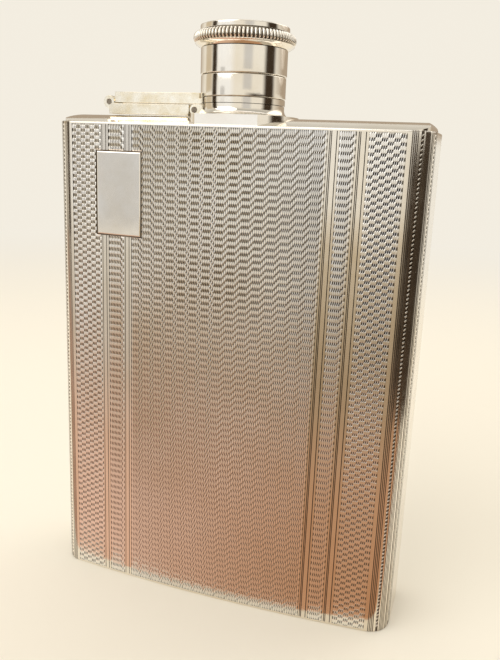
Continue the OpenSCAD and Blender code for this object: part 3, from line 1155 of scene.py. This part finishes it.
    def rope_rule(self, finish: bpy.types.Material) -> Rule:
        """Builds the tree that sets a column of slanted beads up a corner."""
        r = Rule("rope_column")
        count = r.size("Count", True)
        pitch, bottom = r.size("Pitch"), r.size("Bottom")
        x, y, turn, tilt = r.size("Across"), r.size("Depth"), r.size("Turn"), r.size("Tilt")
        width, length, height = r.size("Width"), r.size("Length"), r.size("Height")
        line = r.node(
            "GeometryNodeMeshLine",
            {
                "Count": count,
                "Start Location": r.node("ShaderNodeCombineXYZ", {0: x, 1: y, 2: bottom}).outputs[0],
                "Offset": r.node("ShaderNodeCombineXYZ", {2: pitch}).outputs[0],
            },
            mode="OFFSET",
        )
        bead = r.node("GeometryNodeMeshUVSphere", {"Segments": 8, "Rings": 5, "Radius": 0.5})
        smooth = r.node("GeometryNodeSetShadeSmooth", {"Geometry": bead.outputs[0]})
        turned = r.node("ShaderNodeCombineXYZ", {1: tilt, 2: turn}).outputs[0]
        set_out = r.node(
            "GeometryNodeInstanceOnPoints",
            {
                "Points": line.outputs[0],
                "Instance": smooth.outputs[0],
                "Scale": r.node("ShaderNodeCombineXYZ", {0: width, 1: height, 2: length}).outputs[0],
            },
        )
        rotation = r.node("FunctionNodeEulerToRotation", {0: turned}).outputs[0]
        r.feed(set_out.inputs["Rotation"], rotation)
        r.end(set_out.outputs[0], finish)
        return r

    def ropes(self, places: Sequence[float], name: str, finishes: Finishes) -> None:
        """Makes the rope columns at some places, on both sides.

        Args:
            places: Places on the outline.
            name: The piece's name.
            finishes: The flask's finishes.
        """
        rule = self.rope_rule(finishes.polished)
        made = []
        count = int((self.outline.height - 2 * self.turning.margin) / self.rope_pitch)
        for s in places:
            for side in (-1, 1):
                on_edge, out = self.outline.at(s * side)
                here = on_edge - out * self.rope_inset
                made.append(rule.run(
                    Count=count, Pitch=self.rope_pitch * MM, Bottom=1.5 * MM, Across=here.x * MM,
                    Depth=here.y * MM, Turn=math.atan2(out.x, -out.y), Tilt=0.9 * side,
                    Width=0.36 * MM, Length=0.95 * MM, Height=0.24 * MM,
                ))
        mesh = joined(made, [finishes.polished])
        place(show(name, mesh), Body.FLASK, Slot.POLISHED)

    def build(self, finishes: Finishes) -> None:
        """Makes both shells and their rope columns."""
        seam, whole = self.outline.seam(), 2 * self.outline.lengths()[4]
        groove = [Line(s, 0.55, 0.12) for s in self.rope_places]
        front = [Line(self.along(line.at, Face.FRONT), line.width, line.depth) for line in self.reeds()]
        front += [Line(side * s, 0.18, 0.07) for s in self.side_lines for side in (-1, 1)]
        front += [Line(side * groove[0].at, groove[0].width, groove[0].depth) for side in (-1, 1)]
        mesh = self.loft(Face.FRONT, -seam, seam, sorted(front, key=lambda x: x.at), finishes)
        place(show("front_case", mesh), Body.FLASK, Slot.TURNED, "front_shell")
        back_middle = whole / 2
        rear = [Line(back_middle + side * (back_middle - s)) for s in self.rear_lines for side in (-1, 1)]
        rear += [
            Line(back_middle + side * (back_middle - groove[1].at), groove[1].width, groove[1].depth)
            for side in (-1, 1)
        ]
        rear += [
            Line(back_middle + self.along(line.at, Face.BACK), line.width, line.depth) for line in self.reeds()
        ]
        mesh = self.loft(Face.BACK, seam, whole - seam, sorted(rear, key=lambda x: x.at), finishes)
        place(show("back_case", mesh), Body.FLASK, Slot.TURNED, "back_shell")
        self.ropes(self.rope_places[:1], "front_ropes", finishes)
        self.ropes(self.rope_places[1:], "back_ropes", finishes)


# ------------------------------------------------------------- neck and fittings


@dataclass
class Fitting:
    """A small part that keeps its CAD shape, welded and dressed."""

    node: str
    body: Body
    slot: Slot
    finish: bpy.types.Material
    bevel: float = 0.0
    sharp: float = 30.0

    def build(self) -> None:
        """Makes the dressed copy."""
        mesh = smooth_copy(self.node, self.sharp, flatten=self.bevel > 0)
        mesh.materials.append(self.finish)
        piece = show(f"{self.node}_dressed", mesh)
        if self.bevel > 0:
            edge = piece.modifiers.new("edge", "BEVEL")
            edge.width = self.bevel * MM
            edge.segments = 2
            edge.limit_method = "ANGLE"
            edge.angle_limit = math.radians(50)
        place(piece, self.body, self.slot, self.node)


@dataclass
class Turned:
    """A part turned on the neck's axis, with rounded edges.

    Attributes:
        corners: Radius, height and rounding of each corner of its section, in millimetres.
    """

    name: str
    node: str
    body: Body
    slot: Slot
    finish: bpy.types.Material
    corners: Sequence[tuple[float, float, float]]
    axis_y: float = -0.841
    sharp: float = 40.0

    def build(self) -> bpy.types.Object:
        """Makes the part.

        Returns:
            The piece.
        """
        points, faces = lathe(rounded(self.corners), self.axis_y)
        mesh = mesh_from(points, faces, [self.finish])
        soften(mesh, self.sharp)
        return place(show(self.name, mesh), self.body, self.slot, self.node)


@dataclass
class Cap:
    """The captive cap: band, skirt, milled rim, top disc, sleeve and cork.

    Attributes:
        sleeve_radius: Outside of the bayonet sleeve, which the band and skirt sit on.
        flutes: Number of ribs round the milled rim.
    """

    finishes: Finishes
    axis_y: float = -0.841
    sleeve_radius: float = 7.85
    band_radius: float = 8.75
    skirt_radius: float = 8.86
    rim_radius: float = 10.45
    swell: float = 1.6
    rim_low: float = 120.0
    rim_wide: float = 121.86
    rim_top: float = 123.1
    flutes: int = 80
    rib: float = 0.28

    def rim_section(self) -> list[tuple[float, float, float]]:
        """Section of the milled rim under its ribs."""
        hub = self.rim_radius - self.swell
        foot = math.asin((self.rim_low - self.rim_wide) / self.swell) if self.rim_wide - self.rim_low < self.swell else -1.3
        lip = math.radians(-36)
        section = [(6.0, self.rim_low, 0.0), (self.skirt_radius - 0.1, self.rim_low, 0.0)]
        for k in range(9):
            a = foot + (lip - foot) * k / 8
            section.append((hub + self.swell * math.cos(a), self.rim_wide + self.swell * math.sin(a), 0.0))
        inner = self.swell - self.rib * 1.1
        for k in range(13):
            a = lip + math.radians(4) + (math.radians(70) - lip) * k / 12
            section.append((hub + inner * math.cos(a), min(self.rim_top, self.rim_wide + inner * math.sin(a)), 0.0))
        section += [(8.4, self.rim_top, 0.0), (6.0, self.rim_top, 0.0)]
        return section

    def rib_rule(self) -> Rule:
        """Builds the tree that sets the ribs round the rim."""
        r = Rule("milled_ribs")
        count = r.size("Count", True)
        hub, reach, rib = r.size("Hub radius"), r.size("Reach"), r.size("Rib radius")
        low, high = r.size("Low angle"), r.size("High angle")
        height, axis = r.size("Height"), r.size("Axis")
        points = r.node("GeometryNodeMeshLine", {"Count": count}, mode="OFFSET")
        share = r.math("DIVIDE", r.node("GeometryNodeInputIndex").outputs[0], r.math("MULTIPLY", count, 1.0))
        turn = r.math("MULTIPLY", share, 2 * math.pi)
        gathered = r.node(
            "GeometryNodeSetPosition",
            {
                "Geometry": points.outputs[0],
                "Position": r.node("ShaderNodeCombineXYZ", {0: 0.0, 1: axis, 2: height}).outputs[0],
            },
        )
        spine = r.node("GeometryNodeMeshLine", {"Count": 9}, mode="OFFSET")
        part = r.math("DIVIDE", r.node("GeometryNodeInputIndex").outputs[0], 8.0)
        angle = r.math("ADD", low, r.math("MULTIPLY", part, r.math("SUBTRACT", high, low)))
        bent = r.node(
            "GeometryNodeSetPosition",
            {
                "Geometry": spine.outputs[0],
                "Position": r.node(
                    "ShaderNodeCombineXYZ",
                    {
                        0: r.math("ADD", hub, r.math("MULTIPLY", reach, r.math("COSINE", angle))),
                        2: r.math("MULTIPLY", reach, r.math("SINE", angle)),
                    },
                ).outputs[0],
            },
        )
        curve = r.node("GeometryNodeMeshToCurve", {0: bent.outputs[0]})
        ends = r.math("SUBTRACT", 1.0, r.math("POWER", r.math("ABSOLUTE", r.math("SUBTRACT", r.math("MULTIPLY", part, 2.0), 1.0)), 4.0))
        thick = r.math("MULTIPLY", rib, r.math("ADD", 0.35, r.math("MULTIPLY", ends, 0.65)))
        sized = r.node("GeometryNodeSetCurveRadius", {"Curve": curve.outputs[0], "Radius": thick})
        ring = r.node("GeometryNodeCurvePrimitiveCircle", {"Resolution": 8, "Radius": 1.0})
        swept = r.node(
            "GeometryNodeCurveToMesh",
            {"Curve": sized.outputs[0], "Profile Curve": ring.outputs[0], "Fill Caps": True},
        )
        if "Scale" in swept.inputs:
            r.feed(swept.inputs["Scale"], thick)
        smooth = r.node("GeometryNodeSetShadeSmooth", {"Geometry": swept.outputs[0]})
        rotation = r.node(
            "FunctionNodeEulerToRotation", {0: r.node("ShaderNodeCombineXYZ", {2: turn}).outputs[0]}
        ).outputs[0]
        ribs = r.node(
            "GeometryNodeInstanceOnPoints",
            {"Points": gathered.outputs[0], "Instance": smooth.outputs[0], "Rotation": rotation},
        )
        r.end(ribs.outputs[0], self.finishes.polished)
        return r

    def build(self) -> None:
        """Makes every piece of the cap."""
        silver, inner = self.finishes.polished, self.finishes.inner
        cap, s = Body.CAP, self.sleeve_radius
        Turned("cap_band_piece", "cap_band", cap, Slot.POLISHED, silver, [
            (s, 110.5, 0.0), (self.band_radius, 110.5, 0.2), (self.band_radius, 114.8, 0.2), (s, 114.8, 0.0)]).build()
        Turned("cap_skirt", "cap_barrel", cap, Slot.POLISHED, silver, [
            (s, 114.9, 0.0), (self.skirt_radius, 114.9, 0.2), (self.skirt_radius, 116.4, 0.0),
            (self.skirt_radius, 118.4, 0.0), (self.skirt_radius, 120.0, 0.0), (s, 120.0, 0.0)]).build()
        section = [(r, z) for r, z, _ in self.rim_section()]
        points, faces = lathe(section, self.axis_y)
        # Painted shade: the rim's base under and between the ribs takes the near-black hollow colour.
        ribbed = range(11, 24)
        steps = len(faces) // len(section)
        dark = [k * steps + i for k in ribbed for i in range(steps)]
        base = mesh_from(points, faces, [silver, self.finishes.engraved], dark)
        ribs = self.rib_rule().run(
            Count=self.flutes, Hub_radius=(self.rim_radius - self.swell) * MM, Reach=(self.swell - self.rib) * MM,
            Rib_radius=self.rib * MM, Low_angle=math.radians(-33), High_angle=math.radians(60),
            Height=self.rim_wide * MM, Axis=self.axis_y * MM,
        )
        place(show("milled_rim_piece", joined([base, ribs], [silver, self.finishes.engraved])), cap, Slot.POLISHED, "milled_rim")
        crown = [(9.05 * math.cos(a), 124.25 + 0.65 * math.sin(a), 0.0)
                 for a in (math.radians(d) for d in range(6, 90, 6))]
        disc = [(0.0, 121.2, 0.0), (6.0, 121.2, 0.0), (6.0, 123.1, 0.0), (8.55, 123.1, 0.0), (8.55, 123.26, 0.0),
                (9.05, 123.26, 0.18), (9.05, 124.2, 0.12), *crown, (0.0, 124.9, 0.0)]
        Turned("cap_top", "cap_top_disc", cap, Slot.POLISHED, silver, disc, sharp=50).build()
        for node in ("bayonet_sleeve", "retaining_lip", "cork_cup"):
            Fitting(node, cap, Slot.INNER, inner).build()
        Turned("cork_plug", "cork_seal", cap, Slot.CORK, self.finishes.cork, [
            (0.0, 115.65, 0.0), (6.35, 115.65, 0.35), (6.35, 119.5, 0.0), (0.0, 119.5, 0.0)]).build()


@dataclass
class Neck:
    """The neck, its collar and the shoulder and base plates."""

    finishes: Finishes

    def build(self) -> None:
        """Makes the fixed fittings of the flask."""
        silver, inner = self.finishes.polished, self.finishes.inner
        for node, sharp in (("top_plate", 25.0), ("base_plate", 25.0), ("neck_collar", 35.0)):
            Fitting(node, Body.FLASK, Slot.POLISHED, silver, sharp=sharp).build()
        for node in ("neck_tube", "mouth_rim", "stud_front", "stud_back"):
            Fitting(node, Body.FLASK, Slot.INNER, inner).build()


@dataclass
class Arm:
    """The folding arm: bracket, two leaves, ring and pins."""

    finishes: Finishes

    def build(self) -> None:
        """Makes every piece of the arm."""
        silver, pin = self.finishes.polished, self.finishes.pin
        worn = self.finishes.arm
        Fitting("hinge_bracket", Body.FLASK, Slot.POLISHED, worn, 0.08).build()
        Fitting("lower_leaf", Body.LOWER_ARM, Slot.POLISHED, worn, 0.12).build()
        Fitting("upper_leaf", Body.UPPER_ARM, Slot.POLISHED, worn, 0.12).build()
        Fitting("swivel_ring", Body.UPPER_ARM, Slot.POLISHED, silver).build()
        Fitting("neck_hinge_pin", Body.FLASK, Slot.PIN, pin).build()
        Fitting("outer_hinge_pin", Body.LOWER_ARM, Slot.PIN, pin).build()


# ---------------------------------------------------------------------- studio


@dataclass
class Studio:
    """The pale floor, soft lamps and camera.

    Attributes:
        camera_at: The camera's place in metres.
        yaw: Its turn to the left in degrees.
        pitch: How far it looks down in degrees.
        roll: Its tilt in degrees.
        lens: Focal length in millimetres on a 36 mm long side.
    """

    camera_at: tuple[float, float, float] = (0.05292, -0.14564, 0.09965)
    yaw: float = 18.81
    pitch: float = 13.92
    roll: float = 2.35
    lens: float = 38.755
    floor_radius: float = 3.0
    pale: tuple[float, float, float] = (0.90, 0.85, 0.75)

    def camera(self) -> None:
        """Makes the camera."""
        data = bpy.data.cameras.new("camera")
        data.lens, data.sensor_width = self.lens, 36.0
        data.clip_start, data.clip_end = 0.01, 20.0
        made = bpy.data.objects.new("camera", data)
        bpy.context.scene.collection.objects.link(made)
        turn = (
            Matrix.Rotation(math.radians(self.yaw), 4, "Z")
            @ Matrix.Rotation(math.radians(90 - self.pitch), 4, "X")
            @ Matrix.Rotation(math.radians(self.roll), 4, "Z")
        )
        made.matrix_world = Matrix.Translation(self.camera_at) @ turn
        bpy.context.scene.camera = made

    def seen(self, w: Wiring) -> Socket:
        """1 for rays that show the background: camera, glossy and transmission rays."""
        path = w.node("ShaderNodeLightPath")
        gloss = w.math("MAXIMUM", path.outputs["Is Glossy Ray"], path.outputs["Is Transmission Ray"])
        return w.math("MAXIMUM", path.outputs["Is Camera Ray"], gloss)

    def floor(self) -> None:
        """Makes the floor, whose far part fades into the background."""
        bm = bmesh.new()
        bmesh.ops.create_circle(bm, cap_ends=True, segments=96, radius=self.floor_radius)
        mesh = bpy.data.meshes.new("floor")
        bm.to_mesh(mesh)
        bm.free()
        material = bpy.data.materials.new("pale_floor")
        material.use_nodes = True
        w = Wiring(material.node_tree)
        shader = material.node_tree.nodes["Principled BSDF"]
        shader.inputs["Base Color"].default_value = (*self.pale, 1)
        shader.inputs["Roughness"].default_value = 0.75
        shader.inputs["Specular IOR Level"].default_value = 0.2
        spot = w.node("ShaderNodeTexCoord").outputs["Object"]
        away = w.node("ShaderNodeVectorMath", {0: spot}, operation="LENGTH").outputs["Value"]
        far = w.node(
            "ShaderNodeMapRange", {"Value": away, "From Min": 0.16, "From Max": 0.75}, interpolation_type="SMOOTHSTEP"
        ).outputs[0]
        glow = w.node("ShaderNodeEmission", {"Color": (*self.pale, 1), "Strength": 1.0}).outputs[0]
        blend = w.node(
            "ShaderNodeMixShader", {0: w.math("MULTIPLY", far, self.seen(w)), 1: shader.outputs[0], 2: glow}
        )
        w.tree.links.new(blend.outputs[0], material.node_tree.nodes["Material Output"].inputs[0])
        mesh.materials.append(material)
        show("floor", mesh)

    def world(self) -> None:
        """Makes the surroundings: pale all round and dimmer overhead."""
        world = bpy.data.worlds.new("studio")
        bpy.context.scene.world = world
        world.use_nodes = True
        w = Wiring(world.node_tree)
        back = world.node_tree.nodes["Background"]
        way = w.node("ShaderNodeSeparateXYZ", {0: w.node("ShaderNodeTexCoord").outputs["Generated"]})
        lift = w.node(
            "ShaderNodeMapRange",
            {"Value": way.outputs[2], "From Min": 0.15, "From Max": 0.9, "To Min": 1.0, "To Max": 0.55},
            interpolation_type="SMOOTHSTEP",
        ).outputs[0]
        strength = w.node(
            "ShaderNodeMix", {"Factor": self.seen(w), "A": 0.8, "B": lift}, data_type="FLOAT"
        ).outputs[0]
        back.inputs["Color"].default_value = (*self.pale, 1)
        w.feed(back.inputs["Strength"], strength)

    def flag(self, name: str, bearing: float, spread: float, low: float, high: float, reach: float,
             tone: tuple[float, float, float] = (0.045, 0.03, 0.018), cover: float = 1.0) -> None:
        """Makes a curved card outside the view, soft at both sides, which the silver reflects.

        Args:
            name: Its name.
            bearing: Direction of its middle in degrees, from straight in front and to the right.
            spread: Its width in degrees.
            low: Height of its lower edge in metres.
            high: Height of its upper edge in metres.
            reach: Its distance in metres.
            tone: Its colour.
            cover: How much it hides in the middle.
        """
        steps = 16
        points, faces = [], []
        for i in range(steps + 1):
            turn = math.radians(bearing - spread / 2 + spread * i / steps)
            points += [Vector((reach * math.sin(turn), -reach * math.cos(turn), z)) for z in (low, high)]
        for i in range(steps):
            faces.append([2 * i, 2 * i + 2, 2 * i + 3, 2 * i + 1])
        material = bpy.data.materials.new(name)
        material.use_nodes = True
        w = Wiring(material.node_tree)
        share = w.node("ShaderNodeAttribute", attribute_name="cover").outputs["Fac"]
        card_face = w.node("ShaderNodeEmission", {"Color": (*tone, 1)}).outputs[0]
        clear = w.node("ShaderNodeBsdfTransparent").outputs[0]
        soft = w.node("ShaderNodeMixShader", {0: share, 1: clear, 2: card_face})
        w.tree.links.new(soft.outputs[0], material.node_tree.nodes["Material Output"].inputs[0])
        mesh = mesh_from(points, faces, [material])
        layer = mesh.attributes.new("cover", "FLOAT", "POINT")
        for i in range(steps + 1):
            edge = min(i, steps - i) / (0.25 * steps)
            for k in (2 * i, 2 * i + 1):
                layer.data[k].value = cover * min(1.0, edge)
        card = show(name, mesh)
        card.visible_camera = card.visible_diffuse = card.visible_shadow = False

    def board(self) -> None:
        """Makes the warm board lying before the flask, outside the view, which tints the front's reflections."""
        low, near, far, wide = 0.0006, -0.013, -0.9, 0.8
        points = [Vector(p) for p in ((-wide, far, low), (wide, far, low), (wide, near, low), (-wide, near, low))]
        material = bpy.data.materials.new("warm_board")
        material.use_nodes = True
        w = Wiring(material.node_tree)
        spot = w.node("ShaderNodeSeparateXYZ", {0: w.node("ShaderNodeTexCoord").outputs["Object"]})
        away = w.math("MULTIPLY", spot.outputs[1], -1.0)
        ramp = w.node("ShaderNodeValToRGB", {0: away})
        stops = ((0.0, (0.80, 0.49, 0.34)), (0.06, (0.77, 0.50, 0.37)), (0.16, (0.58, 0.49, 0.40)),
                 (0.34, (0.72, 0.68, 0.62)), (0.75, (0.90, 0.87, 0.80)))
        band = ramp.color_ramp
        for number, (at, colour) in enumerate(stops):
            stop = band.elements[number] if number < 2 else band.elements.new(at)
            stop.position, stop.color = at, (*colour, 1)
        across = w.math("ADD", spot.outputs[0], w.math("MULTIPLY", away, 0.39))
        side = w.node(
            "ShaderNodeMapRange", {"Value": across, "From Min": -0.03, "From Max": 0.045},
            interpolation_type="SMOOTHSTEP",
        ).outputs[0]
        tone = w.node("ShaderNodeMix", {"Factor": side}, data_type="RGBA", blend_type="MULTIPLY")
        w.feed(tone.inputs[6], ramp.outputs[0])
        w.feed(tone.inputs[7], (0.66, 0.56, 0.42, 1))
        glow = w.node("ShaderNodeEmission", {"Color": tone.outputs[2]})
        w.tree.links.new(glow.outputs[0], material.node_tree.nodes["Material Output"].inputs[0])
        card = show("warm_board", mesh_from(points, [[0, 1, 2, 3]], [material]))
        card.visible_camera = card.visible_diffuse = card.visible_shadow = False

    def lamp(self, name: str, at: tuple[float, float, float], aim: tuple[float, float, float], size: float,
             power: float, colour: tuple[float, float, float]) -> None:
        """Makes one soft lamp.

        Args:
            name: Its name.
            at: Its place in metres.
            aim: The point it faces.
            size: Its width in metres.
            power: Its power in watts.
            colour: Its colour.
        """
        data = bpy.data.lights.new(name, "AREA")
        data.shape, data.size, data.energy, data.color = "DISK", size, power, colour
        made = bpy.data.objects.new(name, data)
        bpy.context.scene.collection.objects.link(made)
        way = Vector(aim) - Vector(at)
        made.matrix_world = Matrix.Translation(at) @ way.to_track_quat("-Z", "Y").to_matrix().to_4x4()

    def build(self) -> None:
        """Makes the whole setting."""
        self.camera()
        self.floor()
        self.world()
        middle = (0.0, 0.0, 0.06)
        self.board()
        self.lamp("key_lamp", (-0.40, -0.60, 0.60), middle, 0.95, 3.4, (1.0, 0.98, 0.95))
        self.lamp("top_lamp", (-0.10, 0.10, 0.80), middle, 0.90, 1.6, (1.0, 0.98, 0.95))
        self.lamp("back_lamp", (0.45, 0.60, 0.55), middle, 0.80, 1.4, (1.0, 0.97, 0.92))
        brown, honey, grey = (0.30, 0.20, 0.11), (0.52, 0.40, 0.24), (0.55, 0.54, 0.53)
        self.flag("side_flag", 92.0, 42.0, 0.0007, 0.5, 0.75)
        self.flag("left_flag", -63.0, 20.0, 0.0007, 0.5, 0.75)
        self.flag("far_card", 180.0, 150.0, 0.128, 0.5, 0.9, brown, 0.75)
        self.flag("left_card", -86.0, 34.0, 0.128, 0.5, 0.8, honey, 0.7)
        self.flag("front_card", 30.0, 30.0, 0.128, 0.5, 0.8, grey, 0.7)
        self.flag("white_card", -32.0, 60.0, 0.0007, 0.30, 0.95, (0.98, 0.98, 0.97))
        self.flag("plate_card", -37.0, 16.0, 0.0007, 0.16, 0.8, grey, 0.8)
        self.flag("low_flag", 72.0, 104.0, 0.0007, 0.106, 0.17)
        bpy.context.scene.view_settings.view_transform = "Standard"


# ------------------------------------------------------------------------ main


def main() -> None:
    """Builds the flask's pieces in order."""
    logging.basicConfig(level=logging.INFO, format="%(name)s %(message)s")
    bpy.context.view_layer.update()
    finishes = Finishes()
    outline = Outline()
    turning = EngineTurning(outline)
    plate = Cartouche(outline)
    Studio().build()
    Case(outline, turning, plate).build(finishes)
    turning.build(finishes, plate)
    plate.build(finishes)
    Neck(finishes).build()
    Arm(finishes).build()
    Cap(finishes).build()


if __name__ == "__main__":
    main()
